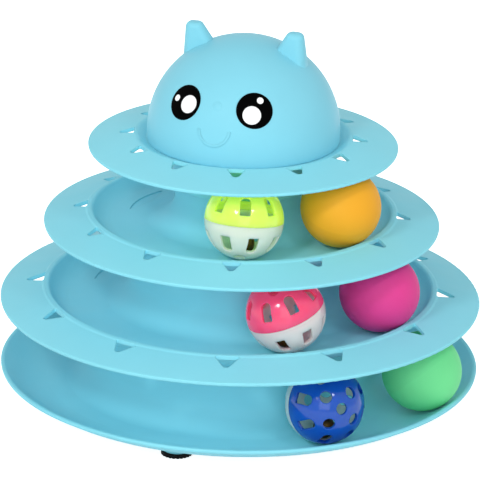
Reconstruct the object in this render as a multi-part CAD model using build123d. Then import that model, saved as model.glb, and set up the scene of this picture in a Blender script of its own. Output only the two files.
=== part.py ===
from build123d import *
import os
from math import atan2, cos, degrees, radians, sin, sqrt, tan

os.makedirs("parts", exist_ok=True)

# A cat ball track toy: a tower of three round ball tracks under a cat-head dome.
# Millimetres, +Z up, feet on z = 0, tower axis on Z, and the face looks along -Y.
# Azimuths are in degrees from the face, positive towards +X.

# Balls and the tracks they run in
ball_diameter = 40.0
plain_ball_diameter = 41.0
ball_side_play = 5.0
ball_hub_gap = 1.0
ball_floor_gap = 0.3
ball_lip_gap = 0.5
middle_track_radius = 60.2
track_step = 20.8
tier_headroom = 2.75

# Tray walls
tray_wall = 2.0
base_floor_height = 7.0
base_lip_height = 8.1
lower_lip_height = 7.05
middle_lip_height = 5.5
lip_wall_slope = 55.0
crest_corner_rise = 0.5
base_dish_flare = 1.4
base_dish_run = 12.8
base_dish_fillet = 30.0
base_rim_width = 1.8
base_rim_fall = 0.4
brim_width = 25.0
brim_fall = 5.1
bead_width = 3.6
bead_top_width = 2.6
bead_top_fall = 0.35
bead_height = 0.6
hub_fillet = 14.0
hub_top_fillet = 2.4
lip_fillet = 10.0
crest_fillet = 1.6
bead_fillet = 0.6
brim_edge_fillet = 0.7
hub_flange = 9.0

# Triangular holes in the brims
hole_count = 12
hole_inset = 2.6
lower_hole_width = 12.8
lower_hole_length = 11.2
middle_hole_width = 10.2
middle_hole_length = 9.4
top_hole_inset = 1.0
top_hole_width = 9.6
top_hole_length = 10.2
hole_corner = 0.6
hole_tip_corner = 2.0

# Twist lock between the tiers
sleeve_length = 16.2
top_sleeve_length = 20.6
sleeve_wall = 1.8
sleeve_clearance = 0.4
seat_gap = 0.2
lug_width = 9.0
lug_height = 3.0
lug_depth = 1.9
lug_lift = 2.0
lug_clearance = 0.4
twist_travel = 18.0
lug_count = 2

# Shallow leaf-shaped marks sunk in the upper two track floors, on both sides of the face
leaf_length = 34.0
leaf_width = 6.6
leaf_depth = 0.5
leaf_inset = 3.5
leaf_azimuths = (-100.0, 100.0)

# Top plate: a recess with a leaning wall, and a sloping brim outside it
recess_rise = 1.25
recess_depth = 2.4
recess_gap = 0.6
recess_wall_lean = 4.9
recess_fillet = 0.4
recess_crest_fillet = 4.0
top_brim_radius = 79.5
top_brim_fall = 5.1
top_opening_radius = 24.0

# Cat head
dome_radius = 49.5
dome_skirt_height = 4.3
dome_wall = 1.8
hook_width = 10.0
hook_thickness = 3.0
hook_toe = 2.4
hook_toe_height = 1.8
hook_root = 5.0
hook_clearance = 0.4

# Ears: rounded pyramids between a foot section inside the dome and a tip section
ear_tip_rise = 5.8
ear_drop = 22.3
ear_foot_inner = 9.5
ear_foot_outer = 33.0
ear_foot_front = 5.2
ear_foot_back = 8.0
ear_foot_corner = 5.0
ear_tip_inner = 23.2
ear_tip_outer = 31.2
ear_tip_front = 5.2
ear_tip_back = 2.0
ear_tip_corner = 3.4
ear_tip_fillet = 3.2

# Face
eye_diameter = 18.4
eye_azimuth = 25.2
eye_rise = 28.6
sticker_thickness = 0.25
smile_radius = 8.0
smile_rise = 18.8
smile_width = 1.3
smile_relief = 0.3
smile_sweep = 168.0
nose_radius = 6.0
nose_rise = 29.8
nose_relief = 0.45

# Feet
foot_pad_diameter = 16.0
foot_pad_thickness = 2.3
foot_boss_diameter = 14.6
foot_inset = 5.6
foot_plug_diameter = 6.0
foot_plug_height = 2.4
foot_plug_gap = 0.1
foot_groove_count = 24
foot_groove_diameter = 1.0

# Lattice balls and plain balls
lattice_wall = 1.8
snap_lip_height = 1.6
snap_lip_thickness = 0.7
snap_gap = 0.1
slot_count = 8
slot_width = 5.4
slot_length = 9.6
slot_polar_angle = 59.5
slot_corner = 0.7
slot_tip_corner = 2.5
round_hole_count = 4
round_hole_diameter = 6.0
round_hole_polar_angle = 29.0
pole_hole_diameter = 5.9
plain_ball_wall = 1.2

# Bells
bell_diameter = 11.0
bell_wall = 0.5
bell_gap = 0.3
bell_slit_width = 1.2
pellet_diameter = 4.0
pellet_gap = 0.1

# One overrun for all cuts, and the most of a straight run that its two roundings may take
overrun = 1.0
rounding_share = 0.98

# Where the feet sit, in degrees from the face
foot_azimuths = {"front": 0.0, "right": 90.0, "back": 180.0, "left": 270.0}

# Each lattice ball: its tier, its azimuth, its pole's azimuth and lean off +Z, and both halves' spins
lattice_balls = {
    "lime": ("middle", 19.4, 177.8, 9.0, 155.4, 36.8),
    "pink": ("lower", 35.2, -63.8, 21.2, 58.3, 20.1),
    "blue": ("base", 44.1, 43.3, 76.1, 204.5, 39.2),
}

# Each plain ball: its tier and its azimuth
plain_balls = {"orange": ("middle", 71.4), "magenta": ("lower", 76.4), "green": ("base", 82.3)}

# Sizes that follow from those above
ball_radius = ball_diameter / 2
tier_pitch = ball_diameter + tier_headroom
lower_track_radius = middle_track_radius + track_step
track_radii = {
    "base": lower_track_radius + track_step,
    "lower": lower_track_radius,
    "middle": middle_track_radius,
}
floor_heights = {
    "base": base_floor_height,
    "lower": base_floor_height + tier_pitch,
    "middle": base_floor_height + 2 * tier_pitch,
    "recess": base_floor_height + 3 * tier_pitch + recess_rise,
}
head_foot_height = floor_heights["recess"] + seat_gap
dome_centre_height = head_foot_height + dome_skirt_height
standing = (Align.CENTER, Align.CENTER, Align.MIN)


def hub_radius(track_radius):
    """Outer radius of a hub, inside the sleeve that the tier above slips over it."""
    sleeve_outer = track_radius - ball_side_play / 2 - ball_radius - ball_hub_gap
    return sleeve_outer - sleeve_wall - sleeve_clearance


def crest_radius(track_radius, lip_height):
    """Inner radius of a track's lip, just clear of a ball at the outer end of its play."""
    half_width = sqrt(ball_radius**2 - (ball_radius - lip_height) ** 2)
    return track_radius + ball_side_play / 2 + half_width + ball_lip_gap


base_crest = crest_radius(track_radii["base"], base_lip_height) + base_dish_flare


def ring_place(radius, azimuth, height):
    """A point at a radius, an azimuth from the face and a height."""
    turn = radians(azimuth)
    return Vector(radius * sin(turn), -radius * cos(turn), height)


def around(count, shape):
    """Copies of a shape, evenly spaced round the tower axis."""
    return [Rot(0, 0, i * 360 / count) * shape for i in range(count)]


def rounded_face(points, radii):
    """A face whose outline runs through the points, each corner rounded by an arc that its two
    straight runs have room for."""
    count = len(points)
    corners = [Vector(*point) for point in points]
    runs = [(corners[(i + 1) % count] - corners[i]).length for i in range(count)]
    ahead = [(corners[(i + 1) % count] - corners[i]).normalized() for i in range(count)]
    halves = [radians((ahead[i - 1] * -1).get_angle(ahead[i])) / 2 for i in range(count)]
    reaches = [radius / tan(half) for radius, half in zip(radii, halves)]
    room = []
    for i in range(count):
        taken = reaches[i] + reaches[(i + 1) % count]
        room.append(min(1, rounding_share * runs[i] / taken) if taken > 0 else 1)
    arcs = []
    for i in range(count):
        reach = reaches[i] * min(room[i - 1], room[i])
        radius = reach * tan(halves[i])
        inward = (ahead[i] - ahead[i - 1]).normalized()
        middle = corners[i] + inward * (radius / sin(halves[i]) - radius)
        arcs.append((corners[i] - ahead[i - 1] * reach, middle, corners[i] + ahead[i] * reach))
    edges = []
    for i in range(count):
        start, middle, end = arcs[i]
        if radii[i] > 0:
            edges.append(ThreePointArc(start, middle, end))
        edges.append(Line(end, arcs[(i + 1) % count][0]))
    return make_face(edges)


def sheet_face(path, radii, edge_radius):
    """The section of a moulded wall: a path of (radius, height) points, walked outwards along the
    upper side, and its offset one wall thickness to the lower side."""
    points = [Vector(*point) for point in path]
    ways = [(b - a).normalized() for a, b in zip(points, points[1:])]
    normals = [Vector(way.Y, -way.X) for way in ways]
    lower = [points[0] + normals[0] * tray_wall]
    lower_radii = []
    for i in range(1, len(points) - 1):
        pair = normals[i - 1] + normals[i]
        lower.append(points[i] + pair * (tray_wall / (1 + normals[i - 1].dot(normals[i]))))
        turns_left = ways[i - 1].cross(ways[i]).Z > 0
        lower_radii.append(radii[i - 1] + tray_wall if turns_left else max(radii[i - 1] - tray_wall, 0))
    lower.append(points[-1] + normals[-1] * tray_wall)
    outline = [(p.X, p.Y) for p in points + lower[::-1]]
    return rounded_face(outline, [0, *radii, edge_radius, edge_radius, *lower_radii[::-1], 0])


def turned(face, arc=360):
    """A section in (radius, height) carried round the tower axis from +X."""
    return revolve(Plane.XZ * face, axis=Axis.Z, revolution_arc=arc)


def ring_block(inner, outer, low, high, start, end):
    """A block of ring between two radii and two heights, from one angle to another off +X."""
    section = Pos((inner + outer) / 2, (low + high) / 2) * Rectangle(outer - inner, high - low)
    return Rot(0, 0, start) * turned(section, end - start)


def lug_angles():
    """The angles off +X at which the lugs and hooks sit: one on each side of the face."""
    return [i * 360 / lug_count for i in range(lug_count)]


# Trays


def hub_top_below(floor_height):
    """The top of a hub that carries a floor at this height."""
    return floor_height - tray_wall - seat_gap


def lock_slots(hub_outer, lug_low, hub_top):
    """L-shaped ways in a hub wall: down from the top for each lug, then sideways to its locked end."""
    half = degrees((lug_width / 2 + lug_clearance) / hub_outer)
    inner = hub_outer - tray_wall - overrun
    outer = hub_outer + overrun
    low = lug_low - lug_clearance
    high = lug_low + lug_height + lug_clearance
    slots = []
    for angle in lug_angles():
        entry = angle + twist_travel
        slots.append(ring_block(inner, outer, low, high, angle - half, entry + half))
        slots.append(ring_block(inner, outer, low, hub_top + overrun, entry - half, entry + half))
    return slots


def sleeve_with_lugs(hub_outer, seat_height, length):
    """A sleeve that hangs from a floor's underside around the hub below, with its inward lugs."""
    inner = hub_outer + sleeve_clearance
    low = seat_height - length
    sleeve = ring_block(inner, inner + sleeve_wall, low, seat_height + tray_wall / 2, 0, 360)
    half = degrees(lug_width / 2 / hub_outer)
    lug_low = low + lug_lift
    lug_high = lug_low + lug_height
    root = inner + sleeve_wall / 2
    for angle in lug_angles():
        sleeve += ring_block(inner - lug_depth, root, lug_low, lug_high, angle - half, angle + half)
    return sleeve


def leaf_marks(track_radius, floor_height):
    """Leaf shapes, each bounded by two equal arcs, that lie along the track and reach into its floor."""
    leaf_arc = (leaf_length**2 + leaf_width**2) / (4 * leaf_width)
    shift = leaf_arc - leaf_width / 2
    leaf = Pos(0, shift) * Circle(leaf_arc) & Pos(0, -shift) * Circle(leaf_arc)
    mark = extrude(Pos(0, 0, -leaf_depth) * leaf, leaf_depth + overrun)
    marks = []
    for azimuth in leaf_azimuths:
        place = ring_place(track_radius - leaf_inset, azimuth, floor_height)
        marks.append(Pos(*place) * Rot(0, 0, azimuth) * mark)
    return marks


def brim_holes(inner_radius, width, length, low, high):
    """Triangular holes round a brim: a straight side towards the axis and a rounded tip outwards."""
    points = [(inner_radius, -width / 2), (inner_radius + length, 0), (inner_radius, width / 2)]
    outline = rounded_face(points, [hole_corner, hole_tip_corner, hole_corner])
    hole = extrude(Pos(0, 0, low) * outline, high - low)
    return around(hole_count, Rot(0, 0, 180 / hole_count) * hole)


def track_path(tier, next_floor, crest, corner_height, wall_run, wall_fillet):
    """The upper side of a tray from its hub's top flange to the crest of its lip, with its roundings.
    The lip's wall rises to the crest over a run."""
    floor_height = floor_heights[tier]
    hub_outer = hub_radius(track_radii[tier])
    hub_top = hub_top_below(next_floor)
    path = [
        (hub_outer - hub_flange, hub_top),
        (hub_outer, hub_top),
        (hub_outer, floor_height),
        (crest - wall_run, floor_height),
        (crest, floor_height + corner_height),
    ]
    return path, [hub_top_fillet, hub_fillet, wall_fillet, crest_fillet]


def bead_and_brim(crest, crest_height, width, fall):
    """The upper side outwards from a crest: the raised bead, its step and the sloping brim."""
    foot_height = crest_height - bead_top_fall - bead_height
    path = [
        (crest + bead_top_width, crest_height - bead_top_fall),
        (crest + bead_width, foot_height),
        (crest + width, foot_height - fall),
    ]
    return path, [bead_fillet, bead_fillet]


def make_brim_tray(tier, lip_height, next_floor, next_sleeve, hole_width, hole_length):
    """A track with a hub above, a sloping brim outside and a sleeve below for the hub under it."""
    floor_height = floor_heights[tier]
    hub_outer = hub_radius(track_radii[tier])
    crest = crest_radius(track_radii[tier], lip_height)
    corner_height = lip_height + crest_corner_rise
    wall_run = corner_height / tan(radians(lip_wall_slope))
    path, radii = track_path(tier, next_floor, crest, corner_height, wall_run, lip_fillet)
    crest_height = floor_height + corner_height
    brim_path, brim_radii = bead_and_brim(crest, crest_height, brim_width, brim_fall)
    tray = turned(sheet_face(path + brim_path, radii + brim_radii, brim_edge_fillet))
    hub_below = hub_radius(track_radii[tier] + track_step)
    tray += sleeve_with_lugs(hub_below, floor_height - tray_wall, sleeve_length)
    tray -= leaf_marks(track_radii[tier], floor_height)
    low = brim_path[-1][1] - tray_wall - overrun
    tray -= brim_holes(crest + hole_inset, hole_width, hole_length, low, crest_height + overrun)
    lug_low = next_floor - tray_wall - next_sleeve + lug_lift
    return tray - lock_slots(hub_outer, lug_low, hub_top_below(next_floor))


def make_base_tray():
    """The lowest track: a shallow dish with a rolled rim, on four bosses with sockets for the pads."""
    next_floor = floor_heights["lower"]
    corner_height = base_lip_height + crest_corner_rise
    path, radii = track_path(
        "base", next_floor, base_crest, corner_height, base_dish_run, base_dish_fillet
    )
    rim_height = base_floor_height + corner_height - base_rim_fall
    path.append((base_crest + base_rim_width, rim_height))
    tray = turned(sheet_face(path, radii, brim_edge_fillet))
    boss_height = base_floor_height - tray_wall / 2 - foot_pad_thickness
    boss = Cylinder(foot_boss_diameter / 2, boss_height, align=standing)
    socket_radius = foot_plug_diameter / 2 + foot_plug_gap
    socket = Cylinder(socket_radius, foot_plug_height + foot_plug_gap, align=standing)
    for azimuth in foot_azimuths.values():
        seat = Pos(*ring_place(track_radii["base"] - foot_inset, azimuth, foot_pad_thickness))
        tray += seat * boss
        tray -= seat * socket
    hub_outer = hub_radius(track_radii["base"])
    lug_low = next_floor - tray_wall - sleeve_length + lug_lift
    return tray - lock_slots(hub_outer, lug_low, hub_top_below(next_floor))


def make_foot_pad():
    """A rubber pad with a plug on top and grooves round its edge, standing on z = 0."""
    pad = Cylinder(foot_pad_diameter / 2, foot_pad_thickness, align=standing)
    plug = Cylinder(foot_plug_diameter / 2, foot_plug_height, align=standing)
    pad += Pos(0, 0, foot_pad_thickness) * plug
    groove = Pos(foot_pad_diameter / 2, 0) * Cylinder(foot_groove_diameter / 2, foot_pad_thickness)
    return pad - around(foot_groove_count, groove)


# Top plate and head


def make_top_plate():
    """The top brim with a round recess for the head, ways for the head's hooks and a sleeve below."""
    recess_floor = floor_heights["recess"]
    recess_radius = dome_radius + recess_gap
    crest = recess_radius + recess_wall_lean
    crest_height = recess_floor + recess_depth
    edge_height = crest_height - top_brim_fall
    path = [
        (top_opening_radius, recess_floor),
        (recess_radius, recess_floor),
        (crest, crest_height),
        (top_brim_radius, edge_height),
    ]
    radii = [recess_fillet, recess_crest_fillet]
    plate = turned(sheet_face(path, radii, brim_edge_fillet))
    hub_below = hub_radius(track_radii["middle"])
    plate += sleeve_with_lugs(hub_below, recess_floor - tray_wall, top_sleeve_length)
    low = edge_height - tray_wall - overrun
    high = crest_height + overrun
    plate -= brim_holes(crest + top_hole_inset, top_hole_width, top_hole_length, low, high)
    outer = dome_radius - dome_wall + hook_clearance
    inner = outer - hook_thickness - 2 * hook_clearance
    half = degrees((hook_width / 2 + hook_clearance) / inner)
    cut_low = recess_floor - tray_wall - overrun
    cut_high = recess_floor + overrun
    for angle in lug_angles():
        entry = angle + twist_travel
        plate -= ring_block(inner, outer, cut_low, cut_high, angle - half, entry + half)
        plate -= ring_block(inner - hook_toe, outer, cut_low, cut_high, entry - half, entry + half)
    return plate


def dome_solid(offset):
    """The dome as a filled half ball on a short straight skirt, grown outwards by an offset."""
    radius = dome_radius + offset
    arc = CenterArc((0, dome_centre_height), radius, 0, 90)
    sides = Polyline(arc @ 1, (0, head_foot_height), (radius, head_foot_height), arc @ 0)
    return turned(make_face([arc, *sides.edges()]))


def ear_section(inner, outer, front, back, corner):
    """A rounded rectangle across an ear, between its inner and outer and front and back sides."""
    place = Pos((inner + outer) / 2, (back - front) / 2)
    return place * RectangleRounded(outer - inner, back + front, corner)


def ear_pair(inset):
    """The two ears as rounded pyramids, drawn in by an inset on every side."""
    top = dome_centre_height + dome_radius + ear_tip_rise - inset
    foot = ear_section(
        ear_foot_inner + inset,
        ear_foot_outer - inset,
        ear_foot_front - inset,
        ear_foot_back - inset,
        ear_foot_corner - inset,
    )
    tip = ear_section(
        ear_tip_inner + inset,
        ear_tip_outer - inset,
        ear_tip_front - inset,
        ear_tip_back - inset,
        ear_tip_corner - inset,
    )
    ear = loft([Pos(0, 0, top - ear_drop) * foot, Pos(0, 0, top) * tip])
    if inset == 0:
        ear = fillet(ear.faces().sort_by(Axis.Z)[-1].edges(), ear_tip_fillet)
    return [ear, mirror(ear, about=Plane.YZ)]


def dome_point(azimuth, rise):
    """A point of the dome's outer face at an azimuth and a rise above its foot, with its normal."""
    radius = sqrt(dome_radius**2 - (rise - dome_skirt_height) ** 2)
    place = ring_place(radius, azimuth, head_foot_height + rise)
    return place, (place - Vector(0, 0, dome_centre_height)).normalized()


def make_cat_head():
    """The hollow dome with two ears, a raised smile, a small nose and two hooks inside its foot."""
    head = dome_solid(0) + ear_pair(0)
    head -= [dome_solid(-dome_wall), *ear_pair(dome_wall)]
    wall_core = dome_solid(-dome_wall / 2)
    smile_arc = CenterArc((0, 0), smile_radius, 270 - smile_sweep / 2, smile_sweep)
    stroke = Pos(0, head_foot_height + smile_rise) * SlotArc(smile_arc, smile_width)
    band = extrude(Plane.XZ * stroke, dome_radius + overrun)
    smile = (band & dome_solid(smile_relief)) - wall_core
    nose_place, nose_normal = dome_point(0, nose_rise)
    nose_centre = nose_place - nose_normal * (nose_radius - nose_relief)
    nose = Pos(*nose_centre) * Sphere(nose_radius) - wall_core
    hooks = [Rot(0, 0, angle) * head_hook() for angle in lug_angles()]
    return head + [smile, nose, *hooks]


def head_hook():
    """A hook at +X inside the dome's foot: a root in the dome wall, a leg through the plate and a toe."""
    outer = dome_radius - dome_wall
    inner = outer - hook_thickness
    half = degrees(hook_width / 2 / outer)
    toe_top = floor_heights["recess"] - tray_wall - seat_gap
    toe_low = toe_top - hook_toe_height
    root_top = head_foot_height + hook_root
    hook = ring_block(inner, outer + dome_wall / 2, head_foot_height, root_top, -half, half)
    hook += ring_block(inner, outer, toe_low, head_foot_height, -half, half)
    return hook + ring_block(inner - hook_toe, outer, toe_low, toe_top, -half, half)


def make_eye_sticker(azimuth):
    """A round sticker that lies on the dome."""
    place, normal = dome_point(azimuth, eye_rise)
    disc = Plane(origin=place, z_dir=normal) * Cylinder(eye_diameter / 2, eye_diameter)
    return disc & (dome_solid(sticker_thickness) - dome_solid(0))


# Balls


def lattice_openings():
    """The openings of a half shell about its pole on +Z: slots in a ring with their straight ends
    towards the seam, round holes between them nearer the pole, and one hole at the pole."""
    half_length = slot_length / 2
    half_width = slot_width / 2
    corners = [
        (-half_length, -half_width),
        (half_length, -half_width),
        (half_length, half_width),
        (-half_length, half_width),
    ]
    outline = rounded_face(corners, [slot_tip_corner, slot_corner, slot_corner, slot_tip_corner])
    slot = Rot(0, slot_polar_angle, 0) * extrude(outline, ball_radius + overrun)
    bore = Cylinder(round_hole_diameter / 2, ball_radius + overrun, align=standing)
    bore = Rot(0, 0, 180 / slot_count) * Rot(0, round_hole_polar_angle, 0) * bore
    pole_bore = Cylinder(pole_hole_diameter / 2, ball_radius + overrun, align=standing)
    return [*around(slot_count, slot), *around(round_hole_count, bore), pole_bore]


def make_half_shell(has_lip):
    """One half of a lattice ball about its centre, pole on +Z. One half has the snap lip, the other
    the rebate that takes it."""
    inner = ball_radius - lattice_wall
    cover = Cylinder(ball_radius + overrun, ball_radius + overrun, align=standing)
    half = (Sphere(ball_radius) - Sphere(inner)) & cover
    lip_outer = inner + snap_lip_thickness
    if has_lip:
        half += ring_block(inner, lip_outer, -snap_lip_height, snap_lip_height, 0, 360)
    else:
        half -= Cylinder(lip_outer + snap_gap, snap_lip_height + snap_gap, align=standing)
    return half - lattice_openings()


def make_bell():
    """A round bell about its centre: a thin hollow sphere with a cross of slits round its lower half."""
    radius = bell_diameter / 2
    bell = Sphere(radius) - Sphere(radius - bell_wall)
    slit = Pos(0, 0, -radius) * Box(bell_diameter + overrun, bell_slit_width, bell_diameter)
    end_bore = Rot(0, 90, 0) * Cylinder(bell_slit_width, radius)
    cut = [slit, *(Pos(side * radius, 0) * end_bore for side in (-1, 1))]
    return bell - [Rot(0, 0, turn) * shape for turn in (0, 90) for shape in cut]


def dish_climb(path_radius, radius):
    """How far a ball rises where the base track's floor starts to curve up under it."""
    slope = atan2(base_lip_height + crest_corner_rise, base_dish_run)
    curve_start = base_crest - base_dish_run - base_dish_fillet * tan(slope / 2)
    outwards = max(path_radius - curve_start, 0)
    swing = base_dish_fillet - radius - ball_floor_gap
    return swing - sqrt(swing**2 - outwards**2)


def ball_centre(tier, azimuth, side, radius):
    """The centre of a ball at rest, at the inner (-1) or outer (1) end of its play in a track."""
    path_radius = track_radii[tier] + side * (ball_side_play / 2 + ball_radius - radius)
    height = floor_heights[tier] + ball_floor_gap + radius
    if tier == "base":
        height += dish_climb(path_radius, radius)
    return Pos(*ring_place(path_radius, azimuth, height))


def place_lattice_ball(shapes, tier, azimuth, pole_azimuth, pole_lean, colour_spin, white_spin):
    """The four pieces of a lattice ball: both halves turned as the ball lies, and the bell with its
    pellet at the bottom of the hollow."""
    centre = ball_centre(tier, azimuth, -1, ball_radius)
    lie = centre * Rot(0, 0, pole_azimuth - 90) * Rot(0, pole_lean, 0)
    bell_drop = ball_radius - lattice_wall - bell_gap - bell_diameter / 2
    pellet_drop = bell_diameter / 2 - bell_wall - pellet_gap - pellet_diameter / 2
    bell_place = centre * Pos(0, 0, -bell_drop)
    places = {
        "colour_half": lie * Rot(0, 0, colour_spin),
        "white_half": lie * Rot(180, 0, 0) * Rot(0, 0, -white_spin),
        "bell": bell_place * Rot(0, 0, azimuth),
        "bell_pellet": bell_place * Pos(0, 0, -pellet_drop),
    }
    return {name: place * shapes[name] for name, place in places.items()}


# The whole toy, one file for each piece

pieces = {
    "base_tray": make_base_tray(),
    "lower_tray": make_brim_tray(
        "lower",
        lower_lip_height,
        floor_heights["middle"],
        sleeve_length,
        lower_hole_width,
        lower_hole_length,
    ),
    "middle_tray": make_brim_tray(
        "middle",
        middle_lip_height,
        floor_heights["recess"],
        top_sleeve_length,
        middle_hole_width,
        middle_hole_length,
    ),
    "top_plate": make_top_plate(),
    "cat_head": make_cat_head(),
    "left_eye_sticker": make_eye_sticker(-eye_azimuth),
    "right_eye_sticker": make_eye_sticker(eye_azimuth),
}
for side, azimuth in foot_azimuths.items():
    foot_place = Pos(*ring_place(track_radii["base"] - foot_inset, azimuth, 0))
    pieces[f"{side}_foot_pad"] = foot_place * make_foot_pad()
lattice_shapes = {
    "colour_half": make_half_shell(False),
    "white_half": make_half_shell(True),
    "bell": make_bell(),
    "bell_pellet": Sphere(pellet_diameter / 2),
}
for colour, lie in lattice_balls.items():
    for name, piece in place_lattice_ball(lattice_shapes, *lie).items():
        pieces[f"{colour}_ball_{name}"] = piece
plain_radius = plain_ball_diameter / 2
hollow_ball = Sphere(plain_radius) - Sphere(plain_radius - plain_ball_wall)
for colour, (tier, azimuth) in plain_balls.items():
    pieces[f"{colour}_ball"] = ball_centre(tier, azimuth, 1, plain_radius) * hollow_ball
for name, piece in pieces.items():
    export_step(piece, f"parts/{name}.step")
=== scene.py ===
"""Looks of a cat ball track toy: its moulded plastics, print, rubber and brass, its plain balls, and a
white studio with the camera of the photograph."""

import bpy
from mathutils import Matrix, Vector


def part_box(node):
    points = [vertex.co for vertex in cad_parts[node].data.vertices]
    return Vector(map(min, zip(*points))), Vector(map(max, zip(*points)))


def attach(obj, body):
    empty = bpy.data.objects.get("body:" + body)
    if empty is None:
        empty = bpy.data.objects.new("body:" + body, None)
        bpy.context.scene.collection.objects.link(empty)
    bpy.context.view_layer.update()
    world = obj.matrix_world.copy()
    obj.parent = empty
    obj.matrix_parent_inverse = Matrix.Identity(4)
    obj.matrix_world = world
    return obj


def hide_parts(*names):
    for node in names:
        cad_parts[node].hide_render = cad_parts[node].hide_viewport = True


bl_info = {
    "name": "Cat ball track toy",
    "version": (1, 0, 0),
    "blender": (4, 5, 0),
    "location": "View3D > Sidebar > Ball track",
    "description": "Finishes, plain balls and studio of a three-track cat toy",
    "category": "Object",
}

import bpy
import numpy as np
from bpy.props import FloatProperty, FloatVectorProperty, PointerProperty
from mathutils import Matrix, Vector

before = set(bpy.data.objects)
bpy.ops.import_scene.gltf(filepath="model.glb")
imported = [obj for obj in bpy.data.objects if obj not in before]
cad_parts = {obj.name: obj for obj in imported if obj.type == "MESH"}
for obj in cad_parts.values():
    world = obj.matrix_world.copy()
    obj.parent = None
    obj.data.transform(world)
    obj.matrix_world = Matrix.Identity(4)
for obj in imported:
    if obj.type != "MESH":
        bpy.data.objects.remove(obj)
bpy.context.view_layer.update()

TRAY_NODES = ("base_tray", "lower_tray", "middle_tray", "top_plate")
# Each lattice ball's coloured half: how far light passes through its plastic, and the strength of a painted
# glow, its own colour emitted so that the half shines brighter than its lighting makes it
LATTICE_HALVES = {"lime": (0.8, 0.26), "pink": (0.8, 0.2), "blue": (0.3, 0.0)}
FOOT_SIDES = ("front", "right", "back", "left")
# Each plain ball: the body it rides on, and the lean and turn of its mould seam in degrees
PLAIN_BALLS = {
    "orange": ("orange_plain", 24.0, 40.0),
    "magenta": ("magenta_plain", 63.0, 150.0),
    "green": ("green_plain", 41.0, 265.0),
}

# The dome that the eyes lie on, and each eye's place on it
DOME_CENTRE = Vector((0.0, 0.0, 0.1410))
DOME_RADIUS = 0.0495
EYE_HEIGHT = 0.1653
EYE_DIAMETER = 0.0184
EYE_AZIMUTHS = {"left": -25.2, "right": 25.2}
# Direction of each eye's small dot, in degrees from the viewer's right
EYE_SMALL_DOT_TURNS = {"left": 171.0, "right": 58.5}
# Shares of the eye's diameter: dot diameter, and its centre's distance from the eye's centre
LARGE_DOT_SHARES = (0.50, 0.155)
SMALL_DOT_SHARES = (0.178, 0.32)

# Camera: the tower axis point it is set up on, its distance, its angles and its small roll
AXIS_POINT = Vector((0.0, 0.0, 0.0845))
CAMERA_DISTANCE = 2.0057
CAMERA_AZIMUTH = 18.2
CAMERA_ELEVATION = 20.05
CAMERA_ROLL = 1.21
CAMERA_LENS = 291.6
CAMERA_SENSOR = 36.0
AIM_LEFT = 0.00064
AIM_DOWN = 0.0034

# Studio: each soft box's way from the toy in the camera's right, up and backward axes, its distance, its
# side and its watts
SOFT_BOXES = {
    "front_left_box": ((-0.37, 0.33, 0.87), 1.5, 0.20, 5.0),
    "front_right_box": ((0.365, 0.40, 0.84), 1.5, 0.15, 2.0),
    "low_front_box": ((0.0, -0.02, 1.0), 1.7, 0.9, 5.2),
}
FLOOR_HALF_SIDE = 30.0
FLOOR_WHITE = (0.82, 0.82, 0.82)
WHITE = (1.0, 1.0, 1.0)

# What every moulded plastic shares: its index, the depth of its skin grain, the depth that light passes
# into it, and how much finer its gloss clouds are than its mottling
PLASTIC_IOR = 1.46
SKIN_DEPTH = 0.0004
LIGHT_DEPTH = 0.012
CLOUD_FINENESS = 2.7
EDGE_SAMPLES = 6

# Print of the eye stickers: the softness of its edges, its fleck and its faint shine
INK_EDGE = 0.00012
INK_FLECK_SCALE = 900.0
INK_FLECK_DEPTH = 0.0002
INK_SHINE = 0.02

# Metal of the bells and pellets: its stains and its grain
STAIN_SCALE = 240.0
METAL_GRAIN_SCALE = 4000.0
METAL_GRAIN_DEPTH = 0.0002

# Plain balls: rings and turns of the surface, and how closely the rings crowd to the seam
BALL_RINGS = 161
BALL_TURNS = 192
SEAM_CROWDING = 1.5


def srgb(red, green, blue):
    """A display colour of 0 to 255 a channel as linear light."""
    share = np.array((red, green, blue)) / 255
    linear = np.where(share <= 0.04045, share / 12.92, ((share + 0.055) / 1.055) ** 2.4)
    return tuple(float(value) for value in linear)


def colour_property(name, description, colour):
    """A colour that a user may change."""
    return FloatVectorProperty(
        name=name, description=description, subtype="COLOR", size=3, min=0, max=1, default=srgb(*colour)
    )


def length_property(name, description, metres):
    """A length that a user may change."""
    return FloatProperty(
        name=name, description=description, unit="LENGTH", min=0, precision=5, default=metres
    )


class BALLTRACK_PG_colours(bpy.types.PropertyGroup):
    """Colours of the toy's plastics, print, rubber and brass."""

    trays: colour_property("Trays", "Moulded plastic of the trays and top plate", (142, 225, 241))
    # The head is the same plastic as the trays; its darker colour is painted shade, standing in for the dome
    # taking more light
    head: colour_property("Head", "Moulded plastic of the cat head", (134, 212, 231))
    lime: colour_property("Lime half", "Coloured half of the top lattice ball", (204, 254, 92))
    pink: colour_property("Pink half", "Coloured half of the middle lattice ball", (255, 74, 118))
    blue: colour_property("Blue half", "Coloured half of the lowest lattice ball", (12, 82, 184))
    white: colour_property("White halves", "Pale half of each lattice ball", (226, 236, 226))
    orange: colour_property("Orange ball", "Plain ball on the top track", (242, 172, 40))
    magenta: colour_property("Magenta ball", "Plain ball on the middle track", (226, 66, 146))
    green: colour_property("Green ball", "Plain ball on the lowest track", (120, 234, 156))
    print_black: colour_property("Eye print", "Ground of the eye stickers", (0, 0, 0))
    print_white: colour_property("Eye lights", "Dots printed on the eye stickers", (246, 248, 248))
    rubber: colour_property("Foot rubber", "Pads under the base tray", (24, 24, 26))
    brass: colour_property("Bell brass", "Bells inside the lattice balls", (112, 90, 46))
    steel: colour_property("Pellet steel", "Pellets inside the bells", (150, 152, 156))


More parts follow.
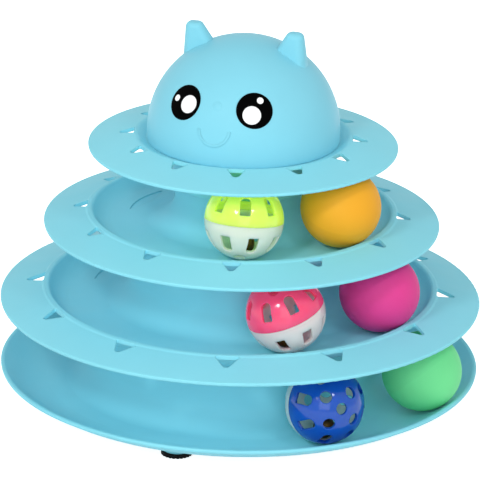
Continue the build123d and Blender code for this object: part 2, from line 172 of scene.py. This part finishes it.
class BALLTRACK_PG_sizes(bpy.types.PropertyGroup):
    """Sizes of the plain balls' moulding marks and of the rounded edges."""

    seam_height: length_property("Seam height", "Ridge where a plain ball's halves are welded", 0.00005)
    seam_width: length_property("Seam width", "Width of that ridge", 0.0007)
    gate_depth: length_property("Gate depth", "Dimple left at a plain ball's gate", 0.00025)
    gate_width: length_property("Gate width", "Radius of that dimple", 0.0013)
    tray_edge: length_property("Tray edge", "Rounding of the trays' hole and rim edges", 0.0007)
    lattice_edge: length_property("Lattice edge", "Rounding of the lattice balls' slot edges", 0.0008)


class BALLTRACK_PG_settings(bpy.types.PropertyGroup):
    """Everything that the panel shows."""

    colours: PointerProperty(type=BALLTRACK_PG_colours)
    sizes: PointerProperty(type=BALLTRACK_PG_sizes)


# Node helpers


def add_node(tree, kind, inputs=None, **settings):
    """A node with its settings made and its inputs set to constants or linked to sockets."""
    node = tree.nodes.new(kind)
    for name, value in settings.items():
        setattr(node, name, value)
    for name, value in (inputs or {}).items():
        if isinstance(value, bpy.types.NodeSocket):
            tree.links.new(value, node.inputs[name])
        else:
            node.inputs[name].default_value = value
    return node


def rgba(colour):
    """A linear colour with full alpha."""
    return (*colour, 1.0)


def new_group(name, inputs, outputs):
    """An empty shader node group with named float, vector or colour sockets."""
    group = bpy.data.node_groups.new(name, "ShaderNodeTree")
    for socket, (kind, default) in inputs.items():
        made = group.interface.new_socket(socket, in_out="INPUT", socket_type=kind)
        if default is not None:
            made.default_value = default
    for socket, kind in outputs.items():
        group.interface.new_socket(socket, in_out="OUTPUT", socket_type=kind)
    return group, group.nodes.new("NodeGroupInput").outputs, group.nodes.new("NodeGroupOutput").inputs


def moulded_grain_group():
    """Moulded plastic: slow mottling of the colour, flow clouds in the gloss and a fine skin texture."""
    if "moulded grain" in bpy.data.node_groups:
        return bpy.data.node_groups["moulded grain"]
    group, given, put = new_group(
        "moulded grain",
        {
            "Vector": ("NodeSocketVector", None),
            "Light Colour": ("NodeSocketColor", rgba(WHITE)),
            "Deep Colour": ("NodeSocketColor", rgba(WHITE)),
            "Mottle Scale": ("NodeSocketFloat", 40.0),
            "Grain Scale": ("NodeSocketFloat", 1500.0),
            "Smoothest": ("NodeSocketFloat", 0.25),
            "Roughest": ("NodeSocketFloat", 0.40),
        },
        {"Color": "NodeSocketColor", "Roughness": "NodeSocketFloat", "Height": "NodeSocketFloat"},
    )
    mottle = add_node(
        group,
        "ShaderNodeTexNoise",
        {"Vector": given["Vector"], "Scale": given["Mottle Scale"], "Detail": 3.0, "Roughness": 0.55},
    )
    colour = add_node(group, "ShaderNodeMix", {"Factor": mottle.outputs["Fac"]}, data_type="RGBA")
    group.links.new(given["Deep Colour"], colour.inputs["A"])
    group.links.new(given["Light Colour"], colour.inputs["B"])
    cloud_scale = add_node(group, "ShaderNodeMath", operation="MULTIPLY")
    group.links.new(given["Mottle Scale"], cloud_scale.inputs[0])
    cloud_scale.inputs[1].default_value = CLOUD_FINENESS
    cloud = add_node(
        group,
        "ShaderNodeTexNoise",
        {"Vector": given["Vector"], "Scale": cloud_scale.outputs[0], "Detail": 2.0},
    )
    rough = add_node(
        group,
        "ShaderNodeMapRange",
        {"Value": cloud.outputs["Fac"], "From Min": 0.25, "From Max": 0.75},
    )
    group.links.new(given["Smoothest"], rough.inputs["To Min"])
    group.links.new(given["Roughest"], rough.inputs["To Max"])
    grain = add_node(
        group,
        "ShaderNodeTexNoise",
        {"Vector": given["Vector"], "Scale": given["Grain Scale"], "Detail": 2.0, "Roughness": 0.6},
    )
    group.links.new(colour.outputs["Result"], put["Color"])
    group.links.new(rough.outputs["Result"], put["Roughness"])
    group.links.new(grain.outputs["Fac"], put["Height"])
    return group


def printed_dot_group():
    """A printed dot: 1 inside a radius of a centre, 0 outside, with an edge as soft as the ink's."""
    if "printed dot" in bpy.data.node_groups:
        return bpy.data.node_groups["printed dot"]
    group, given, put = new_group(
        "printed dot",
        {
            "Vector": ("NodeSocketVector", None),
            "Centre": ("NodeSocketVector", None),
            "Radius": ("NodeSocketFloat", 0.002),
            "Ink Edge": ("NodeSocketFloat", 0.0001),
        },
        {"Mask": "NodeSocketFloat"},
    )
    reach = add_node(group, "ShaderNodeVectorMath", operation="DISTANCE")
    group.links.new(given["Vector"], reach.inputs[0])
    group.links.new(given["Centre"], reach.inputs[1])
    outer = add_node(group, "ShaderNodeMath", operation="ADD")
    group.links.new(given["Radius"], outer.inputs[0])
    group.links.new(given["Ink Edge"], outer.inputs[1])
    mask = add_node(
        group,
        "ShaderNodeMapRange",
        {"Value": reach.outputs["Value"], "To Min": 1.0, "To Max": 0.0},
        interpolation_type="SMOOTHSTEP",
    )
    group.links.new(given["Radius"], mask.inputs["From Min"])
    group.links.new(outer.outputs[0], mask.inputs["From Max"])
    group.links.new(mask.outputs["Result"], put["Mask"])
    return group


def blank_material(name):
    """A material with a Principled shader, its tree and its Object coordinates."""
    material = bpy.data.materials.new(name)
    material.use_nodes = True
    tree = material.node_tree
    shader = tree.nodes["Principled BSDF"]
    place = add_node(tree, "ShaderNodeTexCoord").outputs["Object"]
    return material, tree, shader, place


def moulded_plastic(
    name,
    colour,
    depth_share=0.93,
    smoothest=0.42,
    roughest=0.54,
    mottle_scale=28.0,
    grain_scale=1600.0,
    grain_strength=0.03,
    edge=0.0,
    translucency=0.0,
    painted_glow=0.0,
    specular=0.1,
):
    """Moulded plastic of one colour, with its mottling, gloss clouds, skin grain and rounded edges, and where
    asked a painted glow of its own colour.
    """
    material, tree, shader, place = blank_material(name)
    deep = tuple(value * depth_share for value in colour)
    grain = add_node(tree, "ShaderNodeGroup", node_tree=moulded_grain_group())
    values = {
        "Light Colour": rgba(colour),
        "Deep Colour": rgba(deep),
        "Mottle Scale": mottle_scale,
        "Grain Scale": grain_scale,
        "Smoothest": smoothest,
        "Roughest": roughest,
    }
    for socket, value in values.items():
        grain.inputs[socket].default_value = value
    tree.links.new(place, grain.inputs["Vector"])
    bump = add_node(
        tree,
        "ShaderNodeBump",
        {"Height": grain.outputs["Height"], "Strength": grain_strength, "Distance": SKIN_DEPTH},
    )
    if edge > 0:
        rounding = add_node(tree, "ShaderNodeBevel", {"Radius": edge}, samples=EDGE_SAMPLES)
        tree.links.new(rounding.outputs["Normal"], bump.inputs["Normal"])
    tree.links.new(grain.outputs["Color"], shader.inputs["Base Color"])
    tree.links.new(grain.outputs["Roughness"], shader.inputs["Roughness"])
    tree.links.new(bump.outputs["Normal"], shader.inputs["Normal"])
    # painted glow: the half's colour is also emitted, as if the plastic were a lamp, to make it brighter than
    # its light
    if painted_glow > 0:
        tree.links.new(grain.outputs["Color"], shader.inputs["Emission Color"])
        shader.inputs["Emission Strength"].default_value = painted_glow
    shader.inputs["IOR"].default_value = PLASTIC_IOR
    shader.inputs["Specular IOR Level"].default_value = specular
    shader.inputs["Subsurface Weight"].default_value = translucency
    shader.inputs["Subsurface Radius"].default_value = colour
    shader.inputs["Subsurface Scale"].default_value = LIGHT_DEPTH
    return material


def dress(node_name, material):
    """Puts a material on a node of the frame."""
    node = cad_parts[node_name]
    if not node.material_slots:
        node.data.materials.append(material)
    for slot in node.material_slots:
        slot.material = material


def settings():
    """The colours and sizes that the panel shows."""
    return bpy.context.scene.ball_track


# Surfaces


def closed_lathe(name, radii, heights, turns):
    """A surface of revolution about Z: every (radius, height) pair of the profile is carried round
    by x = radius cos(turn), y = radius sin(turn). The profile starts and ends on the axis, where
    one vertex closes each pole. It is walked upwards, so that faces point outwards."""
    turn = np.linspace(0, 2 * np.pi, turns, endpoint=False)
    ring_radii = radii[1:-1, None]
    rings = np.stack(
        (
            ring_radii * np.cos(turn),
            ring_radii * np.sin(turn),
            np.broadcast_to(heights[1:-1, None], (len(radii) - 2, turns)),
        ),
        axis=-1,
    ).reshape(-1, 3)
    poles = np.array(((0, 0, heights[0]), (0, 0, heights[-1])))
    vertices = np.concatenate((rings, poles))
    row = np.arange(len(radii) - 3)[:, None] * turns
    column = np.arange(turns)
    following = (column + 1) % turns
    quads = np.stack(
        (row + column, row + following, row + turns + following, row + turns + column), axis=-1
    ).reshape(-1, 4)
    last = (len(radii) - 3) * turns
    low_pole = np.full(turns, len(rings))
    high_pole = low_pole + 1
    low_fan = np.stack((low_pole, following, column), axis=-1)
    high_fan = np.stack((high_pole, last + column, last + following), axis=-1)
    mesh = bpy.data.meshes.new(name)
    mesh.from_pydata(vertices, [], [*quads.tolist(), *low_fan.tolist(), *high_fan.tolist()])
    mesh.polygons.foreach_set("use_smooth", np.ones(len(mesh.polygons), dtype=bool))
    mesh.update()
    return mesh


def plain_ball_mesh(name, centre, radius, lean, turn):
    """A ball whose radius is r(t) = R - h + h exp(-(s / w)^2) - d exp(-(p / g)^2), where s is the
    way along the surface from the weld seam, p the way from the gate at the lower pole, h and w the
    seam's height and width, d and g the gate's depth and width. The seam is then leaned and turned."""
    sizes = settings().sizes
    spread = np.linspace(-1, 1, BALL_RINGS)
    dense_middle = np.sign(spread) * np.abs(spread) ** SEAM_CROWDING
    latitude = np.pi / 2 * dense_middle
    seam = sizes.seam_height * np.exp(-((latitude * radius / sizes.seam_width) ** 2))
    from_pole = (latitude + np.pi / 2) * radius
    gate = sizes.gate_depth * np.exp(-((from_pole / sizes.gate_width) ** 2))
    reach = radius - sizes.seam_height + seam - gate
    mesh = closed_lathe(name, reach * np.cos(latitude), reach * np.sin(latitude), BALL_TURNS)
    tilt = Matrix.Rotation(np.radians(turn), 4, "Z") @ Matrix.Rotation(np.radians(lean), 4, "X")
    mesh.transform(Matrix.Translation(centre) @ tilt)
    return mesh


def floor_mesh(name, half_side):
    """A square of the floor at z = 0: x = u, y = v for u and v from minus to plus half its side."""
    corner = np.array(((-1, -1), (1, -1), (1, 1), (-1, 1))) * half_side
    vertices = np.column_stack((corner, np.zeros(len(corner))))
    mesh = bpy.data.meshes.new(name)
    mesh.from_pydata(vertices, [], [(0, 1, 2, 3)])
    mesh.update()
    return mesh


def link_object(name, data):
    """A new object at the origin, in the scene."""
    made = bpy.data.objects.new(name, data)
    bpy.context.scene.collection.objects.link(made)
    return made


# Operators


class BALLTRACK_OT_trays(bpy.types.Operator):
    """Gives the trays and the top plate their satin moulded plastic"""

    bl_idname = "balltrack.trays"
    bl_label = "Trays and top plate"

    def execute(self, context):
        shown = settings()
        material = moulded_plastic("sky plastic trays", shown.colours.trays, edge=shown.sizes.tray_edge)
        for name in TRAY_NODES:
            dress(name, material)
        return {"FINISHED"}


class BALLTRACK_OT_head(bpy.types.Operator):
    """Gives the cat head its slightly glossier moulded plastic"""

    bl_idname = "balltrack.head"
    bl_label = "Cat head"

    def execute(self, context):
        shown = settings()
        # the head's colour is a darker copy of the tray plastic: painted shade
        material = moulded_plastic(
            "sky plastic head", shown.colours.head, smoothest=0.36, roughest=0.46, edge=shown.sizes.tray_edge
        )
        dress("cat_head", material)
        return {"FINISHED"}


def eye_axes(azimuth):
    """The middle of an eye on the dome, and the ways to the viewer's right and up across it."""
    rise = (EYE_HEIGHT - DOME_CENTRE.z) / DOME_RADIUS
    level = np.sqrt(1 - rise**2)
    turn = np.radians(azimuth)
    normal = Vector((np.sin(turn) * level, -np.cos(turn) * level, rise))
    right = Vector((np.cos(turn), np.sin(turn), 0))
    return DOME_CENTRE + normal * DOME_RADIUS, right, normal.cross(right)


def eye_print(side):
    """Black print with a large and a small white dot, one on each side of the eye's middle."""
    colours = settings().colours
    material, tree, shader, place = blank_material(f"{side} eye print")
    middle, right, up = eye_axes(EYE_AZIMUTHS[side])
    turn = np.radians(EYE_SMALL_DOT_TURNS[side])
    way = right * np.cos(turn) + up * np.sin(turn)
    masks = []
    for (size_share, offset_share), sense in ((LARGE_DOT_SHARES, -1), (SMALL_DOT_SHARES, 1)):
        dot = add_node(tree, "ShaderNodeGroup", node_tree=printed_dot_group())
        dot.inputs["Centre"].default_value = middle + way * (sense * offset_share * EYE_DIAMETER)
        dot.inputs["Radius"].default_value = size_share * EYE_DIAMETER / 2
        dot.inputs["Ink Edge"].default_value = INK_EDGE
        tree.links.new(place, dot.inputs["Vector"])
        masks.append(dot.outputs["Mask"])
    both = add_node(tree, "ShaderNodeMath", operation="MAXIMUM")
    tree.links.new(masks[0], both.inputs[0])
    tree.links.new(masks[1], both.inputs[1])
    fleck = add_node(tree, "ShaderNodeTexNoise", {"Vector": place, "Scale": INK_FLECK_SCALE, "Detail": 2.0})
    ink = add_node(tree, "ShaderNodeMix", {"Factor": both.outputs[0]}, data_type="RGBA")
    ink.inputs["A"].default_value = rgba(colours.print_black)
    ink.inputs["B"].default_value = rgba(colours.print_white)
    gloss = add_node(
        tree, "ShaderNodeMapRange", {"Value": fleck.outputs["Fac"], "To Min": 0.45, "To Max": 0.6}
    )
    bump = add_node(
        tree,
        "ShaderNodeBump",
        {"Height": fleck.outputs["Fac"], "Strength": 0.03, "Distance": INK_FLECK_DEPTH},
    )
    shader.inputs["Specular IOR Level"].default_value = INK_SHINE
    tree.links.new(ink.outputs["Result"], shader.inputs["Base Color"])
    tree.links.new(gloss.outputs["Result"], shader.inputs["Roughness"])
    tree.links.new(bump.outputs["Normal"], shader.inputs["Normal"])
    return material


class BALLTRACK_OT_eyes(bpy.types.Operator):
    """Prints the eye stickers black with their two white dots"""

    bl_idname = "balltrack.eyes"
    bl_label = "Eye stickers"

    def execute(self, context):
        for side in EYE_AZIMUTHS:
            dress(f"{side}_eye_sticker", eye_print(side))
        return {"FINISHED"}


class BALLTRACK_OT_lattice_balls(bpy.types.Operator):
    """Gives the lattice balls' halves their glossy coloured and pale plastics"""

    bl_idname = "balltrack.lattice_balls"
    bl_label = "Lattice balls"

    def execute(self, context):
        shown = settings()
        gloss = {"smoothest": 0.08, "roughest": 0.14, "mottle_scale": 60.0, "grain_strength": 0.02}
        gloss |= {"edge": shown.sizes.lattice_edge, "specular": 0.45}
        pale = moulded_plastic("white gloss plastic", shown.colours.white, translucency=0.8, **gloss)
        # each coloured half gets its translucency and its painted glow
        for colour, (translucency, painted_glow) in LATTICE_HALVES.items():
            material = moulded_plastic(
                f"{colour} gloss plastic",
                getattr(shown.colours, colour),
                translucency=translucency,
                painted_glow=painted_glow,
                **gloss,
            )
            dress(f"{colour}_ball_colour_half", material)
            dress(f"{colour}_ball_white_half", pale)
        return {"FINISHED"}


class BALLTRACK_OT_plain_balls(bpy.types.Operator):
    """Makes the plain balls with their weld seam and gate mark, in satin plastic"""

    bl_idname = "balltrack.plain_balls"
    bl_label = "Plain balls"

    def execute(self, context):
        shown = settings()
        for colour, (body, lean, turn) in PLAIN_BALLS.items():
            node = f"{colour}_ball"
            low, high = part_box(node)
            mesh = plain_ball_mesh(f"{colour}_plain_ball", (low + high) / 2, (high.z - low.z) / 2, lean, turn)
            ball = link_object(f"{colour}_plain_ball", mesh)
            material = moulded_plastic(
                f"{colour} satin plastic",
                getattr(shown.colours, colour),
                smoothest=0.52,
                roughest=0.64,
                mottle_scale=50.0,
                specular=0.25,
            )
            mesh.materials.append(material)
            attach(ball, body)
            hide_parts(node)
        return {"FINISHED"}


def worn_metal(name, colour, stain_share, smoothest, roughest):
    """Metal with darker stains, and a gloss that follows them."""
    material, tree, shader, place = blank_material(name)
    grain = add_node(tree, "ShaderNodeGroup", node_tree=moulded_grain_group())
    values = {
        "Light Colour": rgba(colour),
        "Deep Colour": rgba(tuple(value * stain_share for value in colour)),
        "Mottle Scale": STAIN_SCALE,
        "Grain Scale": METAL_GRAIN_SCALE,
        "Smoothest": smoothest,
        "Roughest": roughest,
    }
    for socket, value in values.items():
        grain.inputs[socket].default_value = value
    tree.links.new(place, grain.inputs["Vector"])
    bump = add_node(
        tree,
        "ShaderNodeBump",
        {"Height": grain.outputs["Height"], "Strength": 0.05, "Distance": METAL_GRAIN_DEPTH},
    )
    tree.links.new(grain.outputs["Color"], shader.inputs["Base Color"])
    tree.links.new(grain.outputs["Roughness"], shader.inputs["Roughness"])
    tree.links.new(bump.outputs["Normal"], shader.inputs["Normal"])
    shader.inputs["Metallic"].default_value = 1.0
    return material


class BALLTRACK_OT_bells(bpy.types.Operator):
    """Gives the bells their dull brass and the pellets their steel"""

    bl_idname = "balltrack.bells"
    bl_label = "Bells and pellets"

    def execute(self, context):
        colours = settings().colours
        brass = worn_metal("bell brass", colours.brass, stain_share=0.45, smoothest=0.35, roughest=0.6)
        steel = worn_metal("pellet steel", colours.steel, stain_share=0.7, smoothest=0.2, roughest=0.35)
        for colour in LATTICE_HALVES:
            dress(f"{colour}_ball_bell", brass)
            dress(f"{colour}_ball_bell_pellet", steel)
        return {"FINISHED"}


class BALLTRACK_OT_feet(bpy.types.Operator):
    """Gives the foot pads their matt black rubber"""

    bl_idname = "balltrack.feet"
    bl_label = "Foot pads"

    def execute(self, context):
        shown = settings()
        rubber = moulded_plastic(
            "foot rubber",
            shown.colours.rubber,
            depth_share=0.6,
            smoothest=0.62,
            roughest=0.85,
            mottle_scale=160.0,
            grain_scale=2600.0,
            grain_strength=0.25,
            edge=shown.sizes.lattice_edge,
        )
        for side in FOOT_SIDES:
            dress(f"{side}_foot_pad", rubber)
        return {"FINISHED"}


# Stage


def seen_directly(tree):
    """1 for rays from the camera, a mirror or a clear piece, and 0 for rays that carry light."""
    path = add_node(tree, "ShaderNodeLightPath").outputs
    either = add_node(tree, "ShaderNodeMath", operation="MAXIMUM")
    tree.links.new(path["Is Camera Ray"], either.inputs[0])
    tree.links.new(path["Is Glossy Ray"], either.inputs[1])
    any_of = add_node(tree, "ShaderNodeMath", operation="MAXIMUM")
    tree.links.new(either.outputs[0], any_of.inputs[0])
    tree.links.new(path["Is Transmission Ray"], any_of.inputs[1])
    return any_of.outputs[0]


def light_world(low_strength, high_strength):
    """White where it is seen, and elsewhere a soft light that changes from the strength at the horizon
    to the one overhead."""
    world = bpy.data.worlds.new("white studio")
    world.use_nodes = True
    tree = world.node_tree
    tree.nodes.clear()
    way = add_node(tree, "ShaderNodeSeparateXYZ")
    tree.links.new(add_node(tree, "ShaderNodeTexCoord").outputs["Generated"], way.inputs[0])
    strength = add_node(
        tree,
        "ShaderNodeMapRange",
        {
            "Value": way.outputs["Z"],
            "From Min": 0.15,
            "From Max": 0.85,
            "To Min": low_strength,
            "To Max": high_strength,
        },
        interpolation_type="SMOOTHSTEP",
    )
    soft = add_node(
        tree, "ShaderNodeBackground", {"Color": rgba(WHITE), "Strength": strength.outputs["Result"]}
    )
    white = add_node(tree, "ShaderNodeBackground", {"Color": rgba(WHITE), "Strength": 1.0})
    mix = add_node(tree, "ShaderNodeMixShader", {"Fac": seen_directly(tree)})
    tree.links.new(soft.outputs[0], mix.inputs[1])
    tree.links.new(white.outputs[0], mix.inputs[2])
    output = add_node(tree, "ShaderNodeOutputWorld")
    tree.links.new(mix.outputs[0], output.inputs["Surface"])
    bpy.context.scene.world = world


def floor_material(near_glow, near_reach, far_reach):
    """Pale floor: a diffuse white that takes shadows, plus a glow where it is seen, which grows to
    full white away from the toy."""
    material = bpy.data.materials.new("pale floor")
    material.use_nodes = True
    tree = material.node_tree
    tree.nodes.clear()
    place = add_node(tree, "ShaderNodeTexCoord").outputs["Object"]
    away = add_node(tree, "ShaderNodeVectorMath", operation="LENGTH")
    tree.links.new(place, away.inputs[0])
    glow = add_node(
        tree,
        "ShaderNodeMapRange",
        {
            "Value": away.outputs["Value"],
            "From Min": near_reach,
            "From Max": far_reach,
            "To Min": near_glow,
            "To Max": 1.0,
        },
        interpolation_type="SMOOTHSTEP",
    )
    strength = add_node(tree, "ShaderNodeMath", operation="MULTIPLY")
    tree.links.new(glow.outputs["Result"], strength.inputs[0])
    tree.links.new(seen_directly(tree), strength.inputs[1])
    diffuse = add_node(tree, "ShaderNodeBsdfDiffuse", {"Color": rgba(FLOOR_WHITE)})
    light = add_node(tree, "ShaderNodeEmission", {"Strength": strength.outputs[0]})
    both = add_node(tree, "ShaderNodeAddShader")
    tree.links.new(diffuse.outputs[0], both.inputs[0])
    tree.links.new(light.outputs[0], both.inputs[1])
    output = add_node(tree, "ShaderNodeOutputMaterial")
    tree.links.new(both.outputs[0], output.inputs["Surface"])
    return material


def camera_axes():
    """The camera's right, up and backward ways, and its right and up after its roll."""
    azimuth, elevation, roll = np.radians((CAMERA_AZIMUTH, CAMERA_ELEVATION, CAMERA_ROLL))
    back = Vector(
        (np.sin(azimuth) * np.cos(elevation), -np.cos(azimuth) * np.cos(elevation), np.sin(elevation))
    )
    right = Vector((np.cos(azimuth), np.sin(azimuth), 0))
    up = back.cross(right)
    rolled_right = right * np.cos(roll) + up * np.sin(roll)
    rolled_up = up * np.cos(roll) - right * np.sin(roll)
    return right, up, back, rolled_right, rolled_up


def place_camera():
    """The photograph's camera: a long lens, aimed a little left of and below the axis point."""
    right, up, back, rolled_right, rolled_up = camera_axes()
    data = bpy.data.cameras.new("photo camera")
    data.lens = CAMERA_LENS
    data.sensor_width = CAMERA_SENSOR
    camera = link_object("photo_camera", data)
    aim = AXIS_POINT - right * AIM_LEFT - up * AIM_DOWN
    turn = Matrix((rolled_right, rolled_up, back)).transposed().to_4x4()
    camera.matrix_world = Matrix.Translation(aim + back * CAMERA_DISTANCE) @ turn
    bpy.context.scene.camera = camera


def soft_lamp(name, way, distance, side, watts):
    """A square soft box that faces the middle of the toy from a way given in the camera's right,
    up and backward axes."""
    right, up, back = camera_axes()[:3]
    towards = (right * way[0] + up * way[1] + back * way[2]).normalized()
    data = bpy.data.lights.new(name, "AREA")
    data.shape = "SQUARE"
    data.size = side
    data.energy = watts
    lamp = link_object(name, data)
    turn = towards.to_track_quat("Z", "Y").to_matrix().to_4x4()
    lamp.matrix_world = Matrix.Translation(AXIS_POINT + towards * distance) @ turn
    lamp.visible_camera = False


class BALLTRACK_OT_stage(bpy.types.Operator):
    """Makes the pale floor, the soft studio light and the photograph's camera"""

    bl_idname = "balltrack.stage"
    bl_label = "Stage"

    def execute(self, context):
        floor = link_object("pale_floor", floor_mesh("pale_floor", FLOOR_HALF_SIDE))
        floor.data.materials.append(floor_material(near_glow=0.86, near_reach=0.14, far_reach=0.5))
        light_world(low_strength=1.0, high_strength=0.5)
        for name, (way, distance, side, watts) in SOFT_BOXES.items():
            soft_lamp(name, way, distance, side, watts)
        place_camera()
        context.scene.view_settings.view_transform = "Standard"
        return {"FINISHED"}


OPERATORS = (
    BALLTRACK_OT_trays,
    BALLTRACK_OT_head,
    BALLTRACK_OT_eyes,
    BALLTRACK_OT_lattice_balls,
    BALLTRACK_OT_plain_balls,
    BALLTRACK_OT_bells,
    BALLTRACK_OT_feet,
    BALLTRACK_OT_stage,
)


class BALLTRACK_PT_panel(bpy.types.Panel):
    """Colours, sizes and steps of the toy's looks"""

    bl_idname = "BALLTRACK_PT_panel"
    bl_label = "Ball track toy"
    bl_space_type = "VIEW_3D"
    bl_region_type = "UI"
    bl_category = "Ball track"

    def draw(self, context):
        shown = context.scene.ball_track
        for group in (shown.colours, shown.sizes):
            box = self.layout.box()
            for name in type(group).__annotations__:
                box.prop(group, name)
        for operator in OPERATORS:
            self.layout.operator(operator.bl_idname)


CLASSES = (
    BALLTRACK_PG_colours,
    BALLTRACK_PG_sizes,
    BALLTRACK_PG_settings,
    *OPERATORS,
    BALLTRACK_PT_panel,
)


def register():
    """Adds the classes and the scene's settings."""
    for made in CLASSES:
        bpy.utils.register_class(made)
    bpy.types.Scene.ball_track = PointerProperty(type=BALLTRACK_PG_settings)


def unregister():
    """Takes the settings and the classes away again."""
    del bpy.types.Scene.ball_track
    for made in reversed(CLASSES):
        bpy.utils.unregister_class(made)


def main():
    """Runs every step in order."""
    register()
    bpy.ops.balltrack.trays()
    bpy.ops.balltrack.head()
    bpy.ops.balltrack.eyes()
    bpy.ops.balltrack.lattice_balls()
    bpy.ops.balltrack.plain_balls()
    bpy.ops.balltrack.bells()
    bpy.ops.balltrack.feet()
    bpy.ops.balltrack.stage()


if __name__ == "__main__":
    main()
